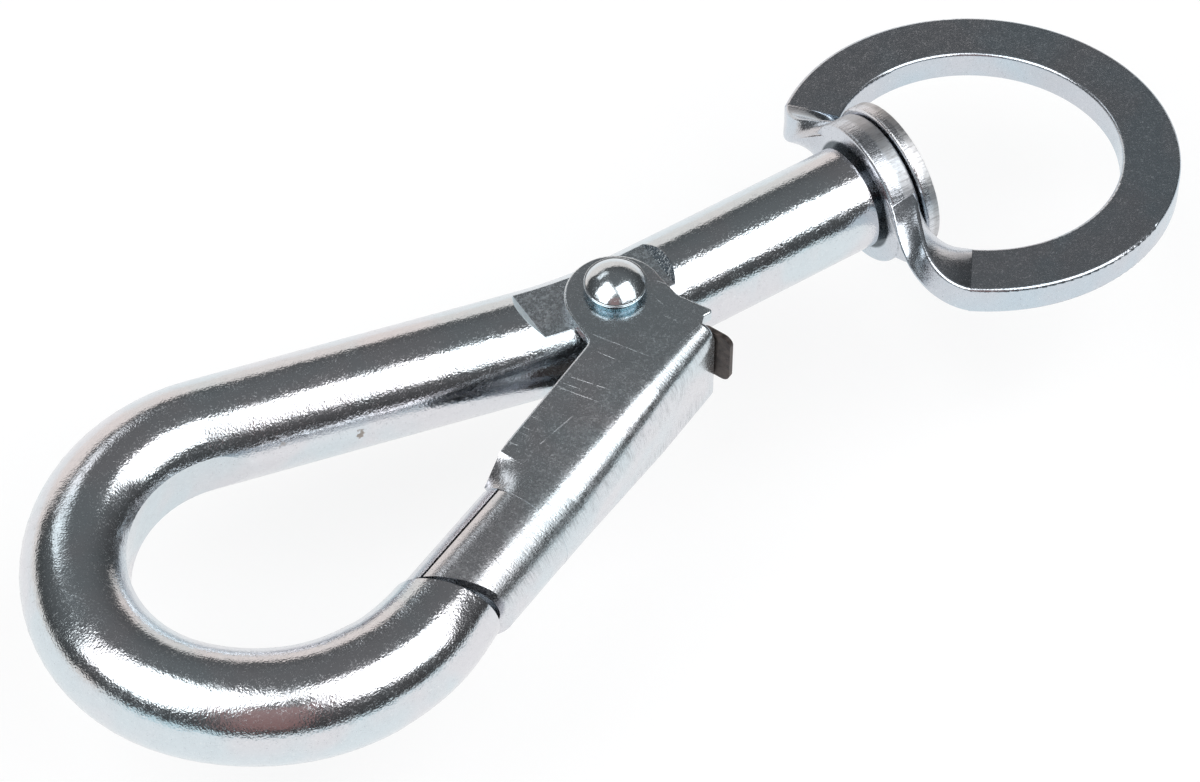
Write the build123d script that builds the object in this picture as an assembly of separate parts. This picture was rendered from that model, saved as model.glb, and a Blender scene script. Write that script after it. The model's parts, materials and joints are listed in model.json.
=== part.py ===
"""Swivel spring snap hook of boat hardware: a bent rod hook with a pressed sheet gate,
its rivet and leaf spring, and a stamped swivel eye held on the shank by a washer.

Frame: X runs along the swivel axis, from the load seat inside the bow (the origin)
towards the eye. Z is parallel to the gate rivet. The gate side of the hook faces -Y.
All sizes are in millimetres.
"""
from build123d import *
import math
import os

# ---- hook rod
rod_r = 5.0
pivot_x = 49.3            # rivet, measured from the load seat in the bow
pivot_y = -1.05           # it stands a little to the gate's side of the rod's axis
shank_len = 26.4          # rivet to the shoulder under the eye
bend_offset = 2.8         # rivet to the corner between shank and spine
spine_angle = 13.3        # spine against the swivel axis, degrees
spine_len = 36.0          # from that corner to the start of the bow
bend_r = 45.0
bow_r = (14.5, 20.0, 17.0)
bow_sweep = (143.2, 25.6, 51.4)
tip_taper_sweep = 26.0    # last part of the bow, where the rod thins
tip_len = 7.0             # straight stock at the tip before its slanted cut
tip_r = 4.6
tip_shift = 0.2           # the thinned stock lies a little to the outside of the bend
bow_flat = 0.55           # depth of the flat worn by the bending tool inside the bow

# ---- recess for the gate's ears
flat_z = 4.2              # half thickness left between the two flats
flat_left = 7.75          # extent of the flats on the bow side of the rivet
flat_right = 5.3          # and on the shank side
flat_slope = 45.0         # of the shoulders at both ends

# ---- stub, washer and peened end
stub_r = 3.2
eye_gap = 0.7             # shoulder to boss
washer_gap = 0.15         # boss to washer
washer_t = 1.4
washer_r = 7.4
washer_relief = (0.25, 0.35)   # air round the washer and in front of it, cut from the necks
peen_r = 4.5
peen_h = 1.3

# ---- swivel eye
eye_t = 2.9
boss_r = 7.0
boss_bore_r = 3.28
eye_outer_r = 19.0
eye_inner_r = 13.5
eye_reach = 39.4          # rivet to the centre of the eye's opening
eye_side = -2.4           # the ring sits a little off the swivel axis
eye_droop = 3.6           # degrees by which the twist of the necks falls short of square
eye_roll = -6.5           # angle the eye is turned to on its swivel
eye_edge_r = 0.35
neck_angle = 128.0        # where the ring's band ends and its necks begin
neck_root = 4.6           # where they run into the boss
neck_flare = 8.0          # their width there
neck_steps = 6
neck_overlap = 3.0        # degrees the necks start inside the band
neck_step = 0.02          # and how much slimmer they are there

# ---- gate, in its own frame: U along the gate from the rivet, W away from the spine
gate_angle = 22.5
sheet = 1.1
ear_z = 5.35              # half height over the ears
gate_z = 4.4              # and over the tube
gate_wall = 10.0          # outer wall at the tail
nose_wall = 11.07         # and along the tube
tube_flat = 0.65          # the tube is this much wider than high
gate_edge = 1.6           # free edge of the flanges
fold_edge = 1.75          # and where they start to curl
gate_edge_r = 0.22        # rounded by the punch
gate_tail = -1.5
tail_edge_r = 0.4         # rounded rear edge of the wall
ear_end = 6.9             # from here the flanges slope down to the tube
gate_fold = (19.95, 23.0)   # they start to curl, and have become a tube
lip_angle = 52.0          # where the upper lip ends there, from the top of the tube
lip_flare = 0.35          # and how far it stands out from the tube
curl_over = 0.02          # the rest of the curl stands out this much where the tube begins
tail_corner_r = 1.75      # bend between flange and wall at the tail
mid_corner_r = 2.6        # and where the ears end
lobe_r = 4.6
lobe_centre = (0.58, 0.4)
nose_u = (35.1, 30.95)    # end of the tube on its inner and outer side
tip_gap = (0.25, 1.2)     # gap to the hook's tip on those sides
seam_angle = 59.0
seam_gap = 0.3

# ---- rivet
rivet_r = 2.0
rivet_hole_r = 2.06
rivet_neck_r = 2.3        # step under the head
rivet_neck_h = 0.7
rivet_lip_r = 2.85
rivet_lip_t = 0.22
rivet_dome_r = 2.68
rivet_dome_h = 1.2
rivet_tail_r = 2.7
rivet_tail_h = 1.0
head_gap = 0.1

# ---- leaf spring
leaf_t = 0.5
leaf_w = 3.6              # inside the gate
leaf_tab_z = (-1.6, 4.3)  # lower and upper edge of the tab behind the wall
leaf_seat = 0.06          # air between leaf and sheet
leaf_hook = 1.45          # length standing out past the wall
leaf_bend_r = 0.33
leaf_fold_u = 13.0
leaf_fold_r = 1.4
leaf_rise = 20.0          # slope of the return leg
leaf_return = 8.2
leaf_curl = 55.8
leaf_curl_r = 2.0


def gate_frame(shape):
    """Moves a shape from the gate's frame to the hook's."""
    return Pos(pivot_x, pivot_y, 0) * Rot(0, 0, 180 + gate_angle) * shape


def eye_frame(shape):
    """Turns a shape about the swivel axis to the eye's rest angle."""
    return Rot(eye_roll, 0, 0) * shape


def prism(points, low, high):
    """A straight prism on a polygon of X, Y points, from Z low to Z high."""
    face = make_face(Polyline(*points, close=True))
    return Pos(0, 0, low) * extrude(face, high - low)


def slanted_block(shift_inner, shift_outer):
    """The region past the slanted end of the gate, in the gate's frame."""
    w_in = gate_edge - 8
    w_out = nose_wall + 8
    u_in = nose_u[0] + shift_inner
    u_out = nose_u[1] + shift_outer
    slope = (u_out - u_in) / (nose_wall - gate_edge)
    first = (u_in + slope * (w_in - gate_edge), w_in)
    last = (u_in + slope * (w_out - gate_edge), w_out)
    return first, last


def rod_path():
    """Centre line of the rod: shank, bend, spine, three arcs of the bow, tip."""
    tangent = bend_r * math.tan(math.radians(spine_angle / 2))
    corner = pivot_x - bend_offset
    shank = Line((pivot_x + shank_len, 0), (corner + tangent, 0))
    bend = JernArc(shank @ 1, shank % 1, bend_r, -spine_angle)
    spine = Line(bend @ 1, (bend @ 1) + (bend % 1) * (spine_len - tangent))
    arc_1 = JernArc(spine @ 1, spine % 1, bow_r[0], bow_sweep[0])
    arc_2 = JernArc(arc_1 @ 1, arc_1 % 1, bow_r[1], bow_sweep[1])
    arc_3 = JernArc(arc_2 @ 1, arc_2 % 1, bow_r[2], bow_sweep[2] - tip_taper_sweep)
    arc_4 = JernArc(arc_3 @ 1, arc_3 % 1, bow_r[2], tip_taper_sweep)
    tip = Line(arc_4 @ 1, (arc_4 @ 1) + (arc_4 % 1) * tip_len)
    return [shank, bend, spine, arc_1, arc_2, arc_3], [arc_4, tip]


def circle_on(edge, at, radius, shift=0.0):
    """A disc of a given radius across an edge, shifted to the outside of the bend."""
    side = (edge % at).cross(Vector(0, 0, 1))
    return Plane(origin=(edge @ at) + side * shift, z_dir=edge % at) * Circle(radius)


def make_hook():
    """The bent rod with its tapered tip, ear flats, and the stub peened over the washer."""
    full, thinning = rod_path()
    rod = sweep(circle_on(full[0], 0, rod_r), path=Wire(full))
    arc, tip = thinning
    mid_r = (rod_r + tip_r) / 2
    sections = [circle_on(arc, 0, rod_r), circle_on(arc, 0.5, (rod_r + mid_r) / 2, tip_shift / 4)]
    sections += [circle_on(arc, 1, mid_r, tip_shift * 0.7)]
    sections += [circle_on(tip, at, tip_r, tip_shift) for at in (0.5, 1)]
    rod += sweep(sections, path=Wire(thinning), multisection=True)

    # flat left by the bending tool on the inside of the bow
    for edge, radius, lead, trail in zip(full[3:], bow_r, (0.2, 0, 0), (0, 0, 0.4)):
        inside = radius - rod_r + bow_flat
        centre = edge.arc_center
        fan = [edge @ (-lead + (1 + lead + trail) * step / 12) - centre for step in range(13)]
        fan = [centre] + [centre + ray.normalized() * inside * 1.1 for ray in fan]
        disc = Pos(centre.X, centre.Y, 0) * Cylinder(inside, 2 * rod_r)
        rod -= disc & prism([(p.X, p.Y) for p in fan], -rod_r, rod_r)

    # flats for the gate's ears, with a sloped shoulder at both ends
    left = pivot_x - flat_left
    right = pivot_x + flat_right
    top = rod_r + 1
    run = (top - flat_z) / math.tan(math.radians(flat_slope))
    profile = [(left, flat_z), (right, flat_z), (right + run, top), (left - run, top)]
    pocket = Plane.XZ * make_face(Polyline(*profile, close=True))
    pocket = extrude(pocket, 12, both=True)
    rod -= pocket
    rod -= mirror(pocket, Plane.XY)

    # slanted end of the tip, facing the gate
    first, last = slanted_block(*tip_gap)
    beyond = prism([first, last, (first[0] - 16, last[1]), (first[0] - 16, first[1])], -8, 8)
    rod -= gate_frame(beyond)

    # rivet hole
    rod -= Pos(pivot_x, pivot_y, 0) * Cylinder(rivet_r, 4 * rod_r)

    # stub through the eye and washer, upset at its end
    shoulder = pivot_x + shank_len
    stack = eye_gap + eye_t + washer_gap + washer_t
    stub = Pos(shoulder + stack / 2, 0, 0) * Rot(0, 90, 0) * Cylinder(stub_r, stack)
    peen = Pos(shoulder + stack + peen_h / 2, 0, 0) * Rot(0, 90, 0) * Cylinder(peen_r, peen_h)
    peen = fillet(peen.edges().sort_by(Axis.X)[-1], peen_h * 0.75)
    hook = rod + stub + peen
    return hook


def channel_section(u, wall, corner_r, half_z, edge, inset):
    """Cross section of the gate's channel at U: flat flanges, whose outer edge is rounded,
    and a rounded outer wall. The inset gives the same section one sheet further in."""
    z = half_z - inset
    wall -= inset
    r = corner_r - inset
    e = gate_edge_r
    if inset:
        edge -= 3
    lines = []
    for sign in (1, -1):
        rim = [(edge, sign * (z - e)), (edge + e * (1 - math.sqrt(0.5)), sign * (z - e * (1 - math.sqrt(0.5))))]
        rim.append((edge + e, sign * z))
        bend = [(wall - r, sign * z), (wall - r + r * math.sqrt(0.5), sign * (z - r + r * math.sqrt(0.5)))]
        bend.append((wall, sign * (z - r)))
        lines += [ThreePointArc(*rim), Line(rim[2], bend[0]), ThreePointArc(*bend)]
    lines += [Line((edge, z - e), (edge, e - z)), Line((wall, z - r), (wall, r - z))]
    face = make_face(Wire(lines))
    return Plane(origin=(u, 0, 0), x_dir=(0, 1, 0), z_dir=(1, 0, 0)) * face


def curl_section(u, axis_w, wall, corner_r, lip):
    """The same section with its two flanges flat, or, given the angle of the lip, curled."""
    def side(z, wall, r, sign):
        """Half of one surface, from the lip to the wall, above or below the middle plane."""
        if lip is None:
            end = (fold_edge, sign * z)
            first = Line(end, (axis_w, sign * z))
        else:
            angle = math.radians(lip)
            end = (axis_w - z * math.sin(angle) - lip_flare, sign * z * math.cos(angle))
            middle = (axis_w - z * math.sin(angle / 2) - lip_flare / 2, sign * z * math.cos(angle / 2))
            first = ThreePointArc(end, middle, (axis_w, sign * z))
        second = Line((axis_w, sign * z), (wall - r, sign * z))
        turn = r * math.sqrt(0.5)
        bend = (wall - r + turn, sign * (z - r + turn))
        third = ThreePointArc((wall - r, sign * z), bend, (wall, sign * (z - r)))
        return end, [first, second, third]

    edges = []
    ends = []
    for inset in (0, sheet):
        z, r = gate_z - inset, corner_r - inset
        if lip is not None:
            z += curl_over
        for sign in (1, -1):
            end, half = side(z, wall - inset, r, sign)
            edges += half
            ends.append(end)
        edges.append(Line((wall - inset, z - r), (wall - inset, r - z)))
    edges += [Line(ends[0], ends[2]), Line(ends[1], ends[3])]
    face = make_face(Wire(edges))
    return Plane(origin=(u, 0, 0), x_dir=(0, 1, 0), z_dir=(1, 0, 0)) * face


def make_ear():
    """Upper ear: the lobe round the rivet, the notched tail and the start of the flange,
    with its outline rounded on the outside."""
    inner = ((-1.4, 8.55), (ear_end, 7.6))
    plate = make_face(Polyline((-3.72, 1.9), (-2.7, 5.0), (-3.15, 8.75), (-2.05, 8.3), *inner,
                               (ear_end, gate_edge), (6.2, gate_edge), (4.75, -1.55), (0, 0),
                               close=True))
    plate += Pos(*lobe_centre) * Circle(lobe_r)
    corners = {(-2.7, 5.0): 1.6, (-3.15, 8.75): 0.35, (-2.05, 8.3): 0.3}
    for (u, w), radius in corners.items():
        near = plate.vertices().filter_by(lambda v: math.hypot(v.X - u, v.Y - w) < 0.05)
        plate = fillet(near, radius)
    root = plate.vertices().filter_by(lambda v: abs(v.Y - gate_edge) < 0.05 and v.X < ear_end - 0.5)
    plate = fillet(root, 1.0)
    ear = Pos(0, 0, ear_z - sheet) * extrude(plate, sheet)
    rim = ear.edges().filter_by(lambda e: abs(e.center().Z - ear_z) < 0.001)
    rim = rim.filter_by(lambda e: e.center().X < ear_end - 0.01 and abs(e.length - math.dist(*inner)) > 0.02)
    return fillet(rim, gate_edge_r)


def make_gate():
    """Pressed sheet gate: two ears, a U channel, and a rolled tube at the nose."""
    fold_start, fold_end = gate_fold
    r_fold = gate_z - 0.25
    wall_fold = nose_wall - 0.05
    wall_mid = gate_wall + (wall_fold - gate_wall) * (ear_end - gate_tail) / (fold_start - gate_tail)
    deep = gate_edge + 1.5
    tail = (gate_tail, gate_wall, tail_corner_r, ear_z, deep)
    middle = (ear_end, wall_mid, mid_corner_r, ear_z)
    last = (fold_start, wall_fold, r_fold, gate_z, gate_edge)
    channel = loft([channel_section(*tail, 0), channel_section(*middle, deep, 0)])
    channel += loft([channel_section(*middle, gate_edge, 0), channel_section(*last, 0)])
    hollow = loft([channel_section(*tail, sheet), channel_section(*middle, deep, sheet)])
    hollow += loft([channel_section(*middle, deep, sheet), channel_section(*last[:4], deep, sheet)])
    channel -= hollow
    # the free edge of each flange draws in towards the roll
    channel -= prism([(fold_start - 1.4, gate_edge - 1), (fold_start - 1.4, gate_edge),
                      (fold_start + 0.1, fold_edge + 0.02), (fold_start + 0.1, gate_edge - 1)], -6, 6)
    axis_w = nose_wall - gate_z - tube_flat
    curl = loft([curl_section(fold_start, axis_w, wall_fold, r_fold, None),
                 curl_section(fold_end, axis_w, nose_wall + curl_over, gate_z, lip_angle)])
    channel += curl

    length = nose_u[0] + 3 - fold_end
    wide = 2 * gate_z + tube_flat
    rolled = RectangleRounded(wide, 2 * gate_z, gate_z - 0.01)
    rolled -= RectangleRounded(wide - 2 * sheet, 2 * (gate_z - sheet), gate_z - sheet - 0.01)
    start = Plane(origin=(fold_end, nose_wall - wide / 2, 0), x_dir=(0, 1, 0), z_dir=(1, 0, 0))
    tube = extrude(start * rolled, length)
    seam = Pos(fold_end + length / 2, axis_w, 0) * Rot(90 - seam_angle, 0, 0) * Pos(0, 0, gate_z)
    tube -= seam * Box(length, seam_gap, 3 * sheet)
    first, last = slanted_block(0, 0)
    tube -= prism([first, (first[0] + 20, first[1]), (last[0] + 20, last[1]), last], -8, 8)

    ear = make_ear()
    gate = channel + tube + ear + mirror(ear, Plane.XY)
    rear = gate.edges().filter_by(lambda e: e.center().Y > gate_wall - 0.1)
    rear = rear.filter_by(lambda e: abs(e.center().X - gate_tail) < 0.01)
    gate = fillet(rear, tail_edge_r)
    gate -= Cylinder(rivet_hole_r, 20)
    return gate_frame(gate)


def make_rivet():
    """Domed rivet: a thin lip and a short neck under the dome, a low closed head below."""
    seat = ear_z + head_gap
    pin = Cylinder(rivet_r, 2 * seat)
    neck = Pos(0, 0, seat + rivet_neck_h / 2) * Cylinder(rivet_neck_r, rivet_neck_h)
    crown = seat + rivet_neck_h + rivet_lip_t
    lip = Pos(0, 0, crown - rivet_lip_t / 2) * Cylinder(rivet_lip_r, rivet_lip_t)
    lip = fillet(lip.edges().sort_by(Axis.Z)[-1], 0.1)
    ball = (rivet_dome_r ** 2 + rivet_dome_h ** 2) / (2 * rivet_dome_h)
    dome = Pos(0, 0, crown + rivet_dome_h - ball) * Sphere(ball)
    dome -= Pos(0, 0, crown - 0.05 - 10) * Box(20, 20, 20)
    tail_ball = (rivet_tail_r ** 2 + rivet_tail_h ** 2) / (2 * rivet_tail_h)
    tail = Pos(0, 0, -seat - rivet_tail_h + tail_ball) * Sphere(tail_ball)
    tail -= Pos(0, 0, -seat + 10) * Box(20, 20, 20)
    return Pos(pivot_x, pivot_y, 0) * (pin + neck + lip + dome + tail)


def make_spring():
    """Leaf of spring steel: hooked over the tail of the gate's wall, laid along the wall,
    folded back, and curled where it bears on the rod beside the rivet."""
    w = gate_wall - sheet - leaf_seat - leaf_t / 2
    u = gate_tail - leaf_seat - leaf_t / 2
    hook = Line((u, gate_wall + leaf_hook), (u, w + leaf_bend_r))
    corner = JernArc(hook @ 1, hook % 1, leaf_bend_r, 90)
    along = Line(corner @ 1, (leaf_fold_u, w))
    fold = JernArc(along @ 1, along % 1, leaf_fold_r, leaf_rise - 180)
    back = Line(fold @ 1, (fold @ 1) + (fold % 1) * leaf_return)
    curl = JernArc(back @ 1, back % 1, leaf_curl_r, -leaf_curl)
    path = Wire([hook, corner, along, fold, back, curl])
    strip = Plane(origin=hook @ 0, z_dir=hook % 0, x_dir=(0, 0, 1)) * Rectangle(10, leaf_t)
    leaf = sweep(strip, path=path)
    low, high = leaf_tab_z
    rear = gate_tail - 0.03
    plan = [(u - 1, low), (u - 1, high), (rear, high), (rear, leaf_w / 2 + 1)]
    plan += [(gate_tail + 3, leaf_w / 2), (40, leaf_w / 2), (40, -leaf_w / 2)]
    plan += [(gate_tail + 3, -leaf_w / 2), (rear, low)]
    face = Plane.XZ * make_face(Polyline(*plan, close=True))
    leaf &= extrude(face, 30, both=True)
    tips = leaf.edges().filter_by(lambda e: abs(e.length - leaf_t) < 0.01)
    leaf = fillet(tips.filter_by(lambda e: e.center().Y > gate_wall), 0.9)
    return gate_frame(leaf)


def neck_section(path, t, side):
    """Section of a neck at t along its path: flat at the ring, upright at the boss."""
    along = path % t
    turn = math.radians(eye_droop + (90 - eye_droop) * t * t * (3 - 2 * t))
    top = Vector(math.sin(turn), 0, math.cos(turn))
    top = (top - along * top.dot(along)).normalized()
    across = along.cross(top) * side
    band = eye_outer_r - eye_inner_r
    width = band + (neck_flare - band) * t ** 3 - neck_step
    plane = Plane(origin=path @ t, x_dir=across, z_dir=along)
    return plane * RectangleRounded(width, eye_t - neck_step, eye_edge_r)


def make_eye():
    """Stamped swivel eye: a flat ring whose two necks are twisted a quarter turn, so
    that the round boss between them stands across the shank."""
    boss_x = pivot_x + shank_len + eye_gap + eye_t / 2
    ring_x = pivot_x + eye_reach
    boss = Rot(0, 90, 0) * Cylinder(boss_r, eye_t)
    boss = fillet(boss.edges().filter_by(GeomType.CIRCLE), eye_edge_r)
    eye = Pos(boss_x, 0, 0) * boss
    mid_r = (eye_outer_r + eye_inner_r) / 2
    section = Pos(mid_r, 0) * RectangleRounded(eye_outer_r - eye_inner_r, eye_t, eye_edge_r)
    band = Rot(0, 0, neck_angle) * revolve(Plane.XZ * section, Axis.Z, -2 * neck_angle)
    droop = Pos(boss_x, 0, 0) * Rot(0, eye_droop, 0) * Pos(ring_x - boss_x, eye_side, 0)
    eye += droop * band
    for side in (1, -1):
        end = Rot(0, 0, (neck_angle - neck_overlap) * side) * Pos(mid_r, 0, 0)
        start = (droop * end).position
        heading = (droop * end * Pos(0, side, 0)).position - start
        finish = Vector(boss_x, side * neck_root, 0)
        path = Spline(start, finish, tangents=[heading, Vector(0, -side, 0)])
        eye += loft([neck_section(path, step / neck_steps, side) for step in range(neck_steps + 1)])
    eye -= Pos(boss_x, 0, 0) * Rot(0, 90, 0) * Cylinder(boss_bore_r, eye_t * 3)
    front = boss_x + eye_t / 2
    depth = washer_gap + washer_t + washer_relief[1]
    spot = Rot(0, 90, 0) * Cylinder(washer_r + washer_relief[0], depth)
    eye -= Pos(front + depth / 2, 0, 0) * spot
    return eye_frame(eye)


def make_washer():
    """Stamped washer held on the stub."""
    x = pivot_x + shank_len + eye_gap + eye_t + washer_gap
    washer = Pos(x + washer_t / 2, 0, 0) * Rot(0, 90, 0) * Cylinder(washer_r, washer_t)
    washer = fillet(washer.edges().filter_by(GeomType.CIRCLE).sort_by(Axis.X)[0], 0.3)
    washer -= Pos(x + washer_t / 2, 0, 0) * Rot(0, 90, 0) * Cylinder(stub_r, washer_t * 2)
    return washer


if __name__ == "__main__":
    os.makedirs("parts", exist_ok=True)
    parts = {"hook_body": make_hook(), "gate": make_gate(), "gate_rivet": make_rivet(),
             "gate_spring": make_spring(), "swivel_eye": make_eye(), "swivel_washer": make_washer()}
    for name, shape in parts.items():
        shape.label = name
        print(name, round(shape.volume, 1), shape.bounding_box(), len(shape.solids()))
        export_step(shape, "parts/" + name + ".step")
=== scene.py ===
"""Looks, light and camera for the swivel snap hook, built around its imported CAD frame.

The frame is the CAD's: X runs along the swivel axis towards the eye, Z along the gate's rivet,
and the gate is on the -Y side. Objects are in metres, and the finishes are laid out in millimetres.
"""
import json
import math

import bmesh
import bpy
from mathutils import Matrix, Vector


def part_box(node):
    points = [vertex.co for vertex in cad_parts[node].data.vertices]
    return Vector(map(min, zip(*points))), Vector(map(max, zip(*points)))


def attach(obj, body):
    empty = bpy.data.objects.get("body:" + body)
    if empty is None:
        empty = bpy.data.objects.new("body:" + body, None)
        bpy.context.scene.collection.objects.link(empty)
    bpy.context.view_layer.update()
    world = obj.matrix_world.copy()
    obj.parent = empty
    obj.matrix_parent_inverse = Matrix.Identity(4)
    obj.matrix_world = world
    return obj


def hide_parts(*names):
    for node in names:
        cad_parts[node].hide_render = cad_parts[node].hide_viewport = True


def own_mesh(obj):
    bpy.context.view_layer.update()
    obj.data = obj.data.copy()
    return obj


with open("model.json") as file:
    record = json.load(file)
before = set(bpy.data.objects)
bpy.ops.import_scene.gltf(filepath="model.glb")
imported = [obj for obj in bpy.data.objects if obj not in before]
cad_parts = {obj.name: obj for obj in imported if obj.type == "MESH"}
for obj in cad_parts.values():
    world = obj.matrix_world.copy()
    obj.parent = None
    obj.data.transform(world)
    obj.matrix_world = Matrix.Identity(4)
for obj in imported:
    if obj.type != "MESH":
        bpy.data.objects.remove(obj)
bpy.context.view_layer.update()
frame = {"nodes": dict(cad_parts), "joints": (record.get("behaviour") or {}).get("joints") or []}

NODES = frame["nodes"]
JOINTS = {joint["name"]: joint for joint in frame["joints"]}
PIVOT = Vector(JOINTS["gate_hinge"]["pos_m"])
GATE_ANGLE = math.radians(202.5)          # direction of the gate from its rivet
GATE_U = Vector((math.cos(GATE_ANGLE), math.sin(GATE_ANGLE), 0.0))    # along the gate
GATE_W = Vector((-math.sin(GATE_ANGLE), math.cos(GATE_ANGLE), 0.0))   # across it, away from the spine
AIM = Vector((0.0498, 0.0, 0.0))          # the lamps and the camera are set out from here

# ---------------------------------------------------------------- places on the metal, in millimetres
FLAT_FROM, FLAT_TO = 41.55, 54.6    # ends along X of the milled flats under the gate's ears
FLAT_Z = 4.2                        # their height over the rod's middle
NECK_TOP = 6.05                     # underside of the rivet's lip
BOSS_ENDS = (76.4, 79.3)            # the eye's boss along X
BOSS_RADIUS = 7.0
WASHER_ENDS = (79.45, 80.85)        # the washer along X
WASHER_RADIUS = 7.4
BORE_SHADOW_RADIUS = 5.45                   # radius of the painted shadow round the bore
RING_X, RING_Y = 88.7, -2.4         # centre of the eye's ring
NECK_START = math.radians(128.0)    # where its necks leave the ring's band
NECK_SHADE_REACH = 3.2                     # how far along a neck the painted shade reaches
RUST = (((23.3, 0.2, 0.7), 0.45, 0.75),      # centre, radius and strength of each spot
        ((16.6, 2.3, 1.8), 0.18, 0.35))
SCRATCHES = (((5.4, 1.2), (4.5, 6.8), 0.050),      # start and end along and across the gate, half width
             ((6.7, 2.9), (6.5, 4.6), 0.032),
             ((11.7, 2.1), (11.0, 5.9), 0.045),
             ((10.2, 2.4), (9.5, 5.6), 0.032),
             ((11.1, 2.2), (10.8, 3.8), 0.030),
             ((17.4, 4.2), (13.5, 4.9), 0.030),
             ((-2.9, 2.5), (-3.1, 3.6), 0.045),
             ((0.0, 5.4), (-0.2, 6.7), 0.040),
             ((-1.2, 3.6), (-1.0, 4.6), 0.030))

# ---------------------------------------------------------------- colours
ZINC_COOL = (0.67, 0.74, 0.78)
ZINC_WARM = (0.73, 0.73, 0.76)
MOTTLE_GREY = (0.47, 0.50, 0.53)
GRAIN_DARK = (0.34, 0.36, 0.38)
GRAIN_LIGHT = (0.95, 0.96, 0.97)
SPECK_DARK = (0.10, 0.085, 0.07)
SPECK_TAN = (0.42, 0.33, 0.24)
# painted shade under the rivet's lip
LIP_SHADE_BLUE = (0.16, 0.30, 0.34)
MILLED_GREY = (0.44, 0.50, 0.55)
# painted highlight on the left shoulder of the milled flats
SHOULDER_PAINTED_LIGHT = (0.78, 0.90, 0.96)
# painted shade on the right shoulder of the milled flats
SHOULDER_PAINTED_SHADE = (0.06, 0.08, 0.10)
RUST_BROWN = (0.30, 0.24, 0.19)
BRUSHED_GREY = (0.40, 0.42, 0.44)
# painted shadow round the bore of the eye and the washer
BORE_SHADOW_DARK = (0.035, 0.055, 0.07)
# painted shade on the flat faces of the eye's necks
NECK_PAINTED_SHADE = (0.12, 0.14, 0.16)
SHEARED_GREY = (0.24, 0.25, 0.27)
TORN_GREY = (0.36, 0.34, 0.32)
STEEL_DARK = (0.05, 0.042, 0.040)
STEEL_LIGHT = (0.13, 0.11, 0.10)
STEEL_WORN = (0.42, 0.38, 0.33)


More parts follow.
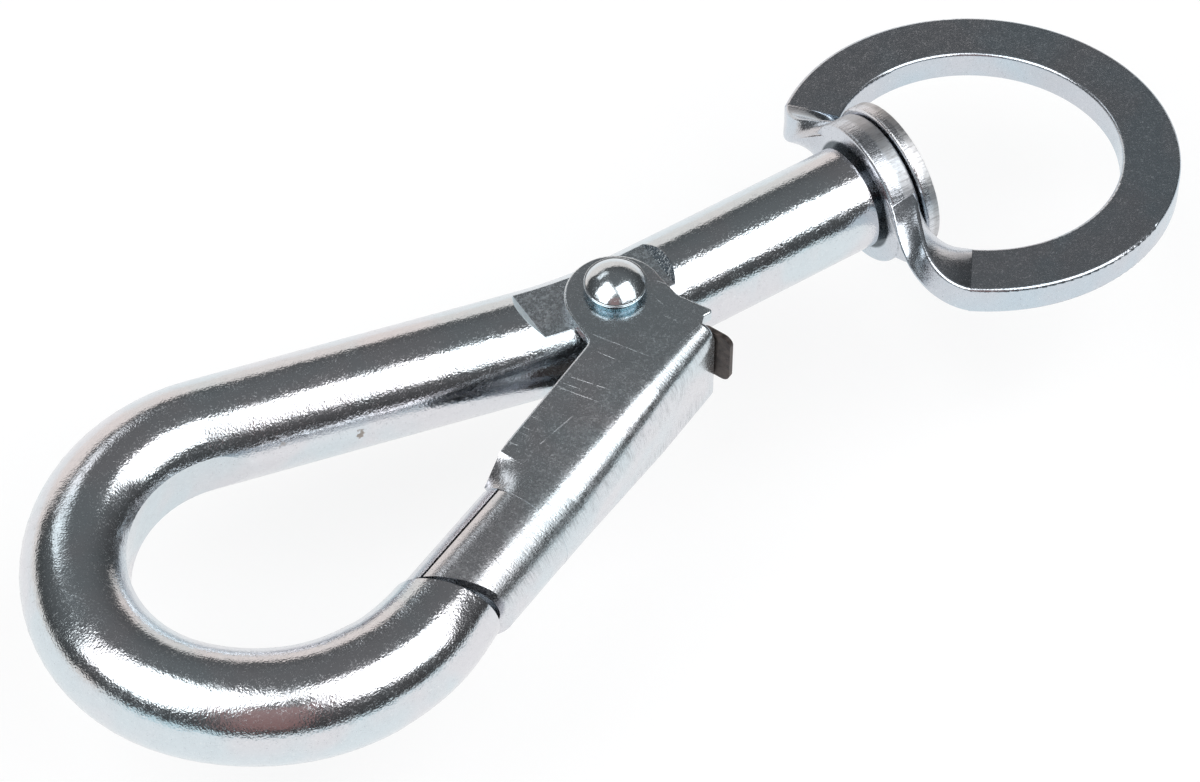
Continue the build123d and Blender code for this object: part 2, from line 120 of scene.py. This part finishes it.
# ---------------------------------------------------------------- node helpers
class Graph:
    """Short calls for building the nodes of one material or world, its owner."""

    def __init__(self, owner):
        owner.use_nodes = True
        self.owner = owner
        self.tree = owner.node_tree
        self.tree.nodes.clear()

    def node(self, kind, **settings):
        made = self.tree.nodes.new(kind)
        for key, value in settings.items():
            setattr(made, key, value)
        return made

    def put(self, socket, value):
        """Links a socket to a value that is another socket, or sets it."""
        if isinstance(value, bpy.types.NodeSocket):
            self.tree.links.new(value, socket)
        else:
            socket.default_value = value

    # values
    def math(self, operation, *values):
        made = self.node("ShaderNodeMath", operation=operation)
        for socket, value in zip(made.inputs, values):
            self.put(socket, value)
        return made.outputs[0]

    def chain(self, operation, first, *others):
        """Several values joined in turn by one operation."""
        joined = first
        for value in others:
            joined = self.math(operation, joined, value)
        return joined

    def times(self, *values):
        return self.chain("MULTIPLY", *values)

    def plus(self, *values):
        return self.chain("ADD", *values)

    def less(self, value, amount):
        return self.math("SUBTRACT", value, amount)

    def size(self, value):
        """A value without its sign."""
        return self.math("ABSOLUTE", value)

    def span(self, value, low, high, to_low=0.0, to_high=1.0, smooth=True):
        """value from low to high becomes to_low to to_high, clamped."""
        kind = "SMOOTHSTEP" if smooth else "LINEAR"
        made = self.node("ShaderNodeMapRange", interpolation_type=kind)
        self.put(made.inputs["Value"], value)
        limits = {"From Min": low, "From Max": high, "To Min": to_low, "To Max": to_high}
        for name, number in limits.items():
            self.put(made.inputs[name], number)
        return made.outputs["Result"]

    def band(self, value, low, high, soft=0.05):
        """1 where a value lies between two limits, 0 elsewhere."""
        rising = self.span(value, low - soft, low + soft)
        falling = self.span(value, high - soft, high + soft, 1.0, 0.0)
        return self.times(rising, falling)

    # places
    def scaled(self, vector, factors, offset=(0, 0, 0)):
        made = self.node("ShaderNodeMapping")
        self.put(made.inputs["Vector"], vector)
        made.inputs["Scale"].default_value = factors
        made.inputs["Location"].default_value = offset
        return made.outputs[0]

    def millimetres(self):
        """Object coordinates in millimetres, which are the frame's at rest."""
        coord = self.node("ShaderNodeTexCoord")
        return self.scaled(coord.outputs["Object"], (1000, 1000, 1000))

    def vector(self, x, y, z):
        made = self.node("ShaderNodeCombineXYZ")
        for socket, value in zip(made.inputs, (x, y, z)):
            self.put(socket, value)
        return made.outputs[0]

    def split(self, vector):
        """The three coordinates of a vector as separate values."""
        made = self.node("ShaderNodeSeparateXYZ")
        self.put(made.inputs[0], vector)
        return made.outputs[0], made.outputs[1], made.outputs[2]

    def measure(self, operation, vector, other):
        """The dot product or the distance of a vector and a fixed one."""
        made = self.node("ShaderNodeVectorMath", operation=operation)
        self.put(made.inputs[0], vector)
        made.inputs[1].default_value = tuple(other)
        return made.outputs["Value"]

    # patterns
    def noise(self, vector, scale, detail=3.0, rough=0.5, distortion=0.0):
        made = self.node("ShaderNodeTexNoise")
        self.put(made.inputs["Vector"], vector)
        made.inputs["Scale"].default_value = scale
        made.inputs["Detail"].default_value = detail
        made.inputs["Roughness"].default_value = rough
        made.inputs["Distortion"].default_value = distortion
        return made.outputs["Fac"]

    def cells(self, vector, scale):
        """Distance to the nearest of many scattered points."""
        made = self.node("ShaderNodeTexVoronoi")
        self.put(made.inputs["Vector"], vector)
        made.inputs["Scale"].default_value = scale
        return made.outputs["Distance"]

    def spots(self, place, cells_per_mm, radius_mm, rarity, shift):
        """Small round specks, of which noise picks a few."""
        shifted = self.scaled(place, (1, 1, 1), shift)
        radius = radius_mm * cells_per_mm
        speck = self.span(self.cells(shifted, cells_per_mm), radius * 0.6, radius, 1.0, 0.0)
        chosen = self.span(self.noise(shifted, 0.4, 1.0), rarity, rarity + 0.06)
        return self.times(speck, chosen)

    # surface
    def mix(self, share, first, second, blend="MIX"):
        """A share of the second colour laid over the first."""
        made = self.node("ShaderNodeMix", data_type="RGBA", blend_type=blend)
        self.put(made.inputs["Factor"], share)
        colours = [s for s in made.inputs if s.type == "RGBA"]
        for socket, value in zip(colours, (first, second)):
            if not isinstance(value, bpy.types.NodeSocket):
                value = (*value, 1.0)
            self.put(socket, value)
        return [s for s in made.outputs if s.type == "RGBA"][0]

    def bump(self, height, micrometres, normal=None):
        made = self.node("ShaderNodeBump")
        made.inputs["Strength"].default_value = 1.0
        made.inputs["Distance"].default_value = micrometres * 1e-6
        self.put(made.inputs["Height"], height)
        if normal is not None:
            self.put(made.inputs["Normal"], normal)
        return made.outputs["Normal"]

    def finish(self, colour, rough, normal, metallic=1.0):
        """Ends a metal's nodes and gives its material."""
        shader = self.node("ShaderNodeBsdfPrincipled")
        self.put(shader.inputs["Base Color"], colour)
        self.put(shader.inputs["Roughness"], rough)
        self.put(shader.inputs["Metallic"], metallic)
        self.put(shader.inputs["Normal"], normal)
        out = self.node("ShaderNodeOutputMaterial")
        self.put(out.inputs["Surface"], shader.outputs[0])
        return self.owner


# ---------------------------------------------------------------- finishes
def zinc_base(graph, place, cool=ZINC_COOL, warm=ZINC_WARM, rough=0.15, grain=1.0, wave=1.0, specks=0.75):
    """Colour, roughness and normal of bright zinc plating over drawn stock."""
    tint = graph.span(graph.noise(place, 0.11, 2.0, 0.55, 0.4), 0.36, 0.64)
    mottle = graph.noise(place, 1.1, 4.0, 0.65)
    fine = graph.noise(place, 4.6, 3.0, 0.7)
    dark = graph.times(graph.spots(place, 0.42, 0.11, 0.60, (3.1, 7.7, 1.9)), specks)
    tan = graph.times(graph.spots(place, 0.30, 0.15, 0.62, (11.3, 2.9, 8.2)), specks * 0.6)
    colour = graph.mix(tint, cool, warm)
    colour = graph.mix(graph.span(mottle, 0.42, 0.75, 0.0, 0.12), colour, MOTTLE_GREY)
    colour = graph.mix(graph.span(fine, 0.58, 0.74, 0.0, 0.22), colour, GRAIN_DARK)
    colour = graph.mix(graph.span(fine, 0.42, 0.28, 0.0, 0.35), colour, GRAIN_LIGHT)
    colour = graph.mix(dark, colour, SPECK_DARK)
    colour = graph.mix(tan, colour, SPECK_TAN)
    roughness = graph.plus(graph.span(mottle, 0.3, 0.8, rough - 0.02, rough + 0.06),
                           graph.span(fine, 0.50, 0.70, -0.02, 0.16))
    patchy = graph.span(graph.noise(place, 0.45, 2.0, 0.6), 0.35, 0.65, 0.55, 1.35)
    pebbles = graph.times(graph.noise(place, 5.0, 1.0, 0.5), patchy)
    normal = graph.bump(pebbles, 18 * grain)
    normal = graph.bump(graph.noise(place, 1.9, 2.0, 0.5), 6 * grain, normal)
    normal = graph.bump(graph.noise(place, 0.30, 1.0, 0.4), 10 * wave, normal)
    return colour, roughness, normal


def rivet_zinc(name):
    """The rivet: a soft shine on its dome, and painted bluish shade on the neck under the lip."""
    graph = Graph(bpy.data.materials.new(name))
    place = graph.millimetres()
    colour, roughness, normal = zinc_base(graph, place, rough=0.15, grain=0.4, wave=1.2, specks=0.4,
                                          warm=(0.76, 0.71, 0.70))
    height = graph.size(graph.split(place)[2])
    neck = graph.span(height, NECK_TOP - 0.06, NECK_TOP - 0.02, 1.0, 0.0)
    # painted shade: the neck under the lip is darkened and tinted blue
    colour = graph.mix(graph.times(neck, 0.8), colour, LIP_SHADE_BLUE)
    roughness = graph.plus(roughness, graph.times(neck, 0.10))
    return graph.finish(colour, roughness, normal)


def shoulder(graph, past_end, over_flat):
    """The slope of 45 degrees that a milled flat ends in, which rises as fast as it goes out."""
    aside = graph.size(graph.less(past_end, over_flat))
    return graph.times(graph.span(aside, 0.03, 0.08, 1.0, 0.0), graph.span(over_flat, 0.0, 0.03))


def hook_zinc(name):
    """The rod: fine plating, dull milled flats, a painted highlight on one shoulder and painted shade on the
    pitted other, two rust spots.
    """
    graph = Graph(bpy.data.materials.new(name))
    place = graph.millimetres()
    colour, roughness, normal = zinc_base(graph, place)
    x, _, z = graph.split(place)
    over = graph.less(graph.size(z), FLAT_Z)
    flat = graph.times(graph.band(x, FLAT_FROM, FLAT_TO, 0.02), graph.band(over, -0.04, 0.04, 0.02))
    left = shoulder(graph, graph.less(FLAT_FROM, x), over)
    right = shoulder(graph, graph.less(x, FLAT_TO), over)
    milled = graph.noise(place, 2.4, 5.0, 0.75)
    pits = graph.noise(graph.scaled(place, (1.0, 2.2, 1.0)), 3.4, 4.0, 0.8)
    colour = graph.mix(graph.times(flat, graph.span(milled, 0.4, 0.7, 0.15, 0.6)), colour, MILLED_GREY)
    # painted highlight: the left shoulder is made lighter as if lit
    colour = graph.mix(graph.times(left, 0.8), colour, SHOULDER_PAINTED_LIGHT)
    # painted shade: the right shoulder is made dark, left lighter in specks where the pits rise
    colour = graph.mix(graph.times(right, graph.span(pits, 0.52, 0.64, 0.95, 0.1)), colour, SHOULDER_PAINTED_SHADE)
    cut = graph.chain("MAXIMUM", flat, left, right)
    dull = graph.times(cut, graph.span(milled, 0.42, 0.68, 0.06, 0.30))
    roughness = graph.plus(roughness, dull, graph.times(left, 0.25))
    normal = graph.bump(graph.times(milled, flat), 30, normal)
    normal = graph.bump(graph.times(pits, right), 50, normal)
    ragged = graph.span(graph.noise(place, 1.9, 3.0, 0.6), 0.2, 0.8, -0.35, 0.35)
    for centre, radius, strength in RUST:
        away = graph.plus(graph.measure("DISTANCE", place, centre), ragged)
        spot = graph.span(away, radius * 0.75, radius * 1.05, strength, 0.0)
        colour = graph.mix(spot, colour, RUST_BROWN)
        roughness = graph.plus(roughness, graph.times(spot, 0.45))
    return graph.finish(colour, roughness, normal)


def scratch(graph, along, across, start, end, half_width):
    """A straight scratch between two points of the gate's flange."""
    length = math.dist(start, end)
    cos, sin = (end[0] - start[0]) / length, (end[1] - start[1]) / length
    du, dw = graph.less(along, start[0]), graph.less(across, start[1])
    run = graph.plus(graph.times(du, cos), graph.times(dw, sin))
    aside = graph.size(graph.less(graph.times(dw, cos), graph.times(du, sin)))
    line = graph.span(aside, half_width * 0.4, half_width, 1.0, 0.0)
    return graph.times(line, graph.band(run, 0.0, length, 0.25))


def ticks(graph, along, across):
    """A broken row of short parallel marks near the flange's inner edge."""
    comb = graph.math("FRACT", graph.plus(graph.times(along, 1.55), graph.times(across, 0.25)))
    row = graph.times(graph.band(comb, 0.44, 0.56, 0.05), graph.band(along, 11.5, 19.0, 0.4),
                      graph.band(across, 1.75, 2.75, 0.25))
    patchy = graph.span(graph.noise(graph.vector(along, 0.0, 0.0), 1.2, 1.0), 0.42, 0.55)
    return graph.times(row, patchy)


def gate_zinc(name):
    """The gate: cross-brushed round its long bend, with scratches on the upper flange."""
    graph = Graph(bpy.data.materials.new(name))
    place = graph.millimetres()
    colour, roughness, normal = zinc_base(graph, place, rough=0.21, grain=0.7, wave=0.6)
    along = graph.less(graph.measure("DOT_PRODUCT", place, GATE_U), 1000 * PIVOT.dot(GATE_U))
    across = graph.less(graph.measure("DOT_PRODUCT", place, GATE_W), 1000 * PIVOT.dot(GATE_W))
    z = graph.split(place)[2]
    # fine marks across the long bend
    lanes = graph.vector(graph.times(along, 5.5), graph.times(across, 0.55), graph.times(z, 0.55))
    streak = graph.noise(lanes, 1.0, 3.0, 0.65)
    bend = graph.times(graph.span(across, 4.5, 6.5), graph.span(graph.size(z), 0.6, 2.2),
                       graph.span(along, -1.5, 4.0, 0.35, 1.0))
    colour = graph.mix(graph.times(bend, graph.span(streak, 0.45, 0.68, 0.0, 0.55)), colour, BRUSHED_GREY)
    roughness = graph.plus(roughness, graph.times(bend, graph.span(streak, 0.3, 0.7, 0.0, 0.10)))
    normal = graph.bump(graph.times(streak, bend), 14, normal)
    # scratches and short ticks on the flange
    flange = graph.span(z, 3.9, 4.2)
    marks = [scratch(graph, along, across, *line) for line in SCRATCHES]
    marks.append(ticks(graph, along, across))
    broken = graph.span(graph.noise(place, 1.4, 2.0), 0.35, 0.5, 0.35, 1.0)
    scored = graph.times(graph.chain("MAXIMUM", *marks), flange, broken)
    roughness = graph.plus(roughness, graph.times(scored, 0.22))
    normal = graph.bump(scored, 6, normal)
    return graph.finish(colour, roughness, normal)


def neck_ends(graph, x, y):
    """The flat faces of the eye's necks where they leave the ring, which get painted shade."""
    facing = graph.split(graph.node("ShaderNodeTexCoord").outputs["Normal"])[2]
    face = graph.span(graph.size(facing), 0.86, 0.95)
    inward = graph.less(x, RING_X)
    aside = graph.size(graph.less(y, RING_Y))
    beyond = graph.plus(graph.times(inward, -math.sin(NECK_START)), graph.times(aside, math.cos(NECK_START)))
    near = graph.times(graph.span(beyond, 0.0, 0.05), graph.span(beyond, 0.2, NECK_SHADE_REACH, 1.0, 0.0),
                       graph.span(x, RING_X - 4.0, RING_X - 5.0))
    return graph.times(near, face)


def sheared_zinc(name, ends, rim_radius, has_necks=False, **looks):
    """A blanked part round the swivel axis: its rim is matt and streaked along the axis, and the
    face towards the hook has a painted shadow round the bore."""
    graph = Graph(bpy.data.materials.new(name))
    place = graph.millimetres()
    colour, roughness, normal = zinc_base(graph, place, **looks)
    start, end = ends
    middle = (start + end) / 2
    x, y, z = graph.split(place)
    reach = graph.math("SQRT", graph.plus(graph.times(y, y), graph.times(z, z)))
    rim = graph.times(graph.band(x, start, end),
                      graph.span(reach, rim_radius - 0.12, rim_radius - 0.04),
                      graph.span(reach, rim_radius + 0.06, rim_radius + 0.12, 1.0, 0.0))
    # painted shadow: the face towards the hook is darkened round the bore, where the gap is shaded
    bore_shadow = graph.times(graph.span(x, start + 0.03, start + 0.10, 1.0, 0.0),
                        graph.span(reach, BORE_SHADOW_RADIUS - 0.15, BORE_SHADOW_RADIUS + 0.15, 1.0, 0.0))
    colour = graph.mix(graph.times(bore_shadow, 0.9), colour, BORE_SHADOW_DARK)
    if has_necks:
        # painted shade: the necks' flat faces next to the ring are darkened
        colour = graph.mix(graph.times(neck_ends(graph, x, y), 0.65), colour, NECK_PAINTED_SHADE)
    streak = graph.noise(graph.scaled(place, (0.5, 5.0, 5.0)), 1.0, 4.0, 0.7)
    torn = graph.times(rim, graph.span(x, middle - 0.1, middle + 0.3))
    colour = graph.mix(graph.times(rim, graph.span(streak, 0.48, 0.62, 0.0, 0.55)), colour, SHEARED_GREY)
    colour = graph.mix(graph.times(torn, 0.35), colour, TORN_GREY)
    roughness = graph.plus(roughness, graph.times(rim, 0.04), graph.times(torn, 0.15))
    normal = graph.bump(graph.times(streak, rim), 30, normal)
    return graph.finish(colour, roughness, normal)


def dark_spring(name):
    """Blued spring steel, blotched, with a few worn specks."""
    graph = Graph(bpy.data.materials.new(name))
    place = graph.millimetres()
    blotch = graph.noise(place, 0.9, 4.0, 0.6)
    colour = graph.mix(graph.span(blotch, 0.35, 0.7), STEEL_DARK, STEEL_LIGHT)
    worn = graph.spots(place, 1.3, 0.12, 0.55, (4.4, 1.7, 9.1))
    colour = graph.mix(graph.times(worn, 0.6), colour, STEEL_WORN)
    roughness = graph.span(blotch, 0.3, 0.7, 0.36, 0.52)
    normal = graph.bump(graph.noise(place, 3.0, 4.0, 0.7), 60)
    return graph.finish(colour, roughness, normal, metallic=0.7)


def dress(name, material):
    """Gives a CAD node one material all over."""
    mesh = NODES[name].data
    if not mesh.materials:
        mesh.materials.append(material)
    for index in range(len(mesh.materials)):
        mesh.materials[index] = material


dress("hook_body", hook_zinc("zinc_hook"))
dress("gate", gate_zinc("zinc_gate"))
dress("gate_rivet", rivet_zinc("zinc_rivet"))
dress("swivel_eye", sheared_zinc("zinc_eye", BOSS_ENDS, BOSS_RADIUS, has_necks=True, rough=0.21,
                                 grain=0.7, cool=(0.57, 0.66, 0.73), warm=(0.62, 0.65, 0.70)))
dress("swivel_washer", sheared_zinc("zinc_washer", WASHER_ENDS, WASHER_RADIUS, rough=0.20, grain=0.8))
dress("gate_spring", dark_spring("spring_dark"))

# ---------------------------------------------------------------- leaf spring
TAB_EDGE = -0.0009      # where the tab begins along the gate, just behind the rivet


def make_leaf():
    """The leaf spring in two pieces that both ride with the gate: its tab, and its leg with a mesh of its
    own.
    """
    source = NODES["gate_spring"]
    edge = PIVOT.dot(GATE_U) + TAB_EDGE
    for name, keeps_tab in (("leaf_tab", True), ("leaf_leg", False)):
        mesh = source.data.copy()
        mesh.transform(source.matrix_world)
        work = bmesh.new()
        work.from_mesh(mesh)
        away = [f for f in work.faces if (f.calc_center_median().dot(GATE_U) < edge) != keeps_tab]
        bmesh.ops.delete(work, geom=away, context="FACES")
        work.to_mesh(mesh)
        work.free()
        piece = bpy.data.objects.new(name, mesh)
        bpy.context.scene.collection.objects.link(piece)
        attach(piece, "gate")
        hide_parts("gate_spring")
        if not keeps_tab:
            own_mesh(piece)


make_leaf()


# ---------------------------------------------------------------- floor
def table_white(name, glow, share):
    """A matt white that shines a little by itself, so that it holds hardly any shadow. The camera
    sees it plain white. The metal mirrors it cooler in front of the part and warmer behind it."""
    graph = Graph(bpy.data.materials.new(name))
    place = graph.node("ShaderNodeTexCoord").outputs["Object"]
    y = graph.split(place)[1]
    tone = graph.mix(graph.span(y, -0.50, -0.12), (0.79, 0.95, 1.0), (1.0, 1.0, 1.0))
    tone = graph.mix(graph.span(y, 0.12, 0.50), tone, (1.0, 0.92, 0.87))
    clouds = graph.span(graph.noise(place, 9.0, 2.0), 0.3, 0.7, 0.0, 0.01)
    tone = graph.mix(clouds, tone, (0.9, 0.9, 0.9))
    seen = graph.node("ShaderNodeLightPath").outputs["Is Camera Ray"]
    tone = graph.mix(seen, tone, (1.025, 1.028, 1.03))
    paint = graph.node("ShaderNodeBsdfDiffuse")
    graph.put(paint.inputs["Color"], graph.mix(1.0, tone, (share, share, share), "MULTIPLY"))
    shine = graph.node("ShaderNodeEmission")
    graph.put(shine.inputs["Color"], tone)
    graph.put(shine.inputs["Strength"], glow)
    both = graph.node("ShaderNodeAddShader")
    graph.put(both.inputs[0], paint.outputs[0])
    graph.put(both.inputs[1], shine.outputs[0])
    out = graph.node("ShaderNodeOutputMaterial")
    graph.put(out.inputs["Surface"], both.outputs[0])
    return graph.owner


def make_floor():
    """A pale floor, rising behind the part into a low sweep. It lies just below the lowest point
    that the eye reaches as it swivels, so it cuts through nothing at any pose."""
    gap = 0.0005                              # air under the eye at its lowest
    near, far, side = -2.4, 0.95, 2.6         # front and back edges in Y, and half the width
    rise, radius, arc_steps = 0.46, 0.30, 16  # height of the sweep, and the curve at its foot
    left_rise, left_rim = 0.30, 0.34          # share of the sweep on the left, height of the left edge
    low_until, full_from = -0.32, -0.06       # between these in X, the sweep goes from that share to all
    stations = ((-side, left_rise), (low_until, left_rise), (full_from, 1.0), (side, 1.0))
    eye_low, eye_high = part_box("swivel_eye")
    level = -max(-eye_low.y, eye_high.y) - gap
    profile = [(near, 0.0), (far - radius, 0.0)]
    for step in range(1, arc_steps + 1):
        angle = math.pi / 2 * step / arc_steps
        profile.append((far - radius + radius * math.sin(angle), radius - radius * math.cos(angle)))
    profile.append((far, rise))
    verts = [(x, y, level + z * share) for x, share in stations for y, z in profile]
    count = len(profile)
    faces = []
    for strip in range(len(stations) - 1):
        for i in range(strip * count, strip * count + count - 1):
            faces.append((i, i + count, i + count + 1, i + 1))
    first = len(verts)
    verts += [(-side, near, level), (-side, far, level), (-side, far, left_rim), (-side, near, left_rim)]
    faces.append((first, first + 1, first + 2, first + 3))
    mesh = bpy.data.meshes.new("floor")
    mesh.from_pydata(verts, [], faces)
    mesh.update()
    for polygon in mesh.polygons:
        polygon.use_smooth = True
    mesh.materials.append(table_white("table_white", glow=0.79, share=0.20))
    floor = bpy.data.objects.new("floor", mesh)
    bpy.context.scene.collection.objects.link(floor)


# ---------------------------------------------------------------- light
def polar(zenith_deg, azimuth_deg):
    """Direction from an angle off +Z and an angle from +X towards +Y."""
    t, a = math.radians(zenith_deg), math.radians(azimuth_deg)
    return Vector((math.sin(t) * math.cos(a), math.sin(t) * math.sin(a), math.cos(t)))


def softbox(name, back, across, width, height, radiance, colour=(1, 1, 1)):
    """A rectangular softbox in the direction back from AIM, with its width along another direction.
    Its sizes are the ones that it would have one metre away."""
    distance = 1.1
    x_axis = (across - back * across.dot(back)).normalized()
    y_axis = back.cross(x_axis)
    data = bpy.data.lights.new(name, "AREA")
    data.shape = "RECTANGLE"
    data.size, data.size_y = width * distance, height * distance
    data.energy = radiance * math.pi * data.size * data.size_y
    data.color = colour
    light = bpy.data.objects.new(name, data)
    place = Matrix((x_axis, y_axis, back)).transposed().to_4x4()
    place.translation = AIM + back * distance
    light.matrix_world = place
    light.visible_camera = False
    bpy.context.scene.collection.objects.link(light)


def make_lamps():
    """Two large softboxes, a weak warm panel in front and a strip behind."""
    softbox("softbox_left", polar(34, 181), Vector((0, 1, 0)), width=0.80, height=0.88, radiance=2.7)
    softbox("softbox_front", polar(35, -57), Vector((1, 0, 0)), width=0.85, height=0.85, radiance=2.7)
    softbox("warm_front", polar(58, 236), Vector((1, -0.65, 0)), width=0.50, height=0.75, radiance=0.20,
            colour=(1.0, 0.46, 0.42))
    softbox("panel_behind", polar(50, 97), Vector((1, 0.15, 0.3)), width=0.42, height=0.22, radiance=1.15,
            colour=(0.95, 0.98, 1.0))


def make_room():
    """Dim light from all round, stronger from above, with a pale backdrop for the camera."""
    world = bpy.data.worlds.new("studio")
    bpy.context.scene.world = world
    graph = Graph(world)
    up = graph.split(graph.node("ShaderNodeTexCoord").outputs["Generated"])[2]
    dim = graph.node("ShaderNodeBackground")
    graph.put(dim.inputs["Color"], (0.96, 0.98, 1.0, 1.0))
    graph.put(dim.inputs["Strength"], graph.span(up, 0.2, 0.8, 0.06, 0.155, smooth=False))
    backdrop = graph.node("ShaderNodeBackground")
    graph.put(backdrop.inputs["Color"], (0.95, 0.955, 0.96, 1.0))
    mix = graph.node("ShaderNodeMixShader")
    graph.put(mix.inputs[0], graph.node("ShaderNodeLightPath").outputs["Is Camera Ray"])
    graph.put(mix.inputs[1], dim.outputs[0])
    graph.put(mix.inputs[2], backdrop.outputs[0])
    out = graph.node("ShaderNodeOutputWorld")
    graph.put(out.inputs["Surface"], mix.outputs[0])


# ---------------------------------------------------------------- camera
def make_camera():
    """A long lens that looks down on the hook from the side of its gate and bow."""
    azimuth, elevation, roll = math.radians(-32.08), math.radians(53.29), math.radians(0.26)
    back = Vector((math.sin(azimuth) * math.cos(elevation),
                   -math.cos(azimuth) * math.cos(elevation), math.sin(elevation)))
    stand = AIM + Vector((-0.11514, -0.18129, 0.27645))
    data = bpy.data.cameras.new("camera")
    data.lens, data.sensor_width = 115.3, 36.0
    data.clip_start, data.clip_end = 0.01, 20.0
    camera = bpy.data.objects.new("camera", data)
    turn = (-back).to_track_quat("-Z", "Y").to_matrix() @ Matrix.Rotation(-roll, 3, "Z")
    place = turn.to_4x4()
    place.translation = stand
    camera.matrix_world = place
    bpy.context.scene.collection.objects.link(camera)
    bpy.context.scene.camera = camera


make_floor()
make_lamps()
make_room()
make_camera()

view = bpy.context.scene.view_settings
view.view_transform = "Standard"
view.look = "None"
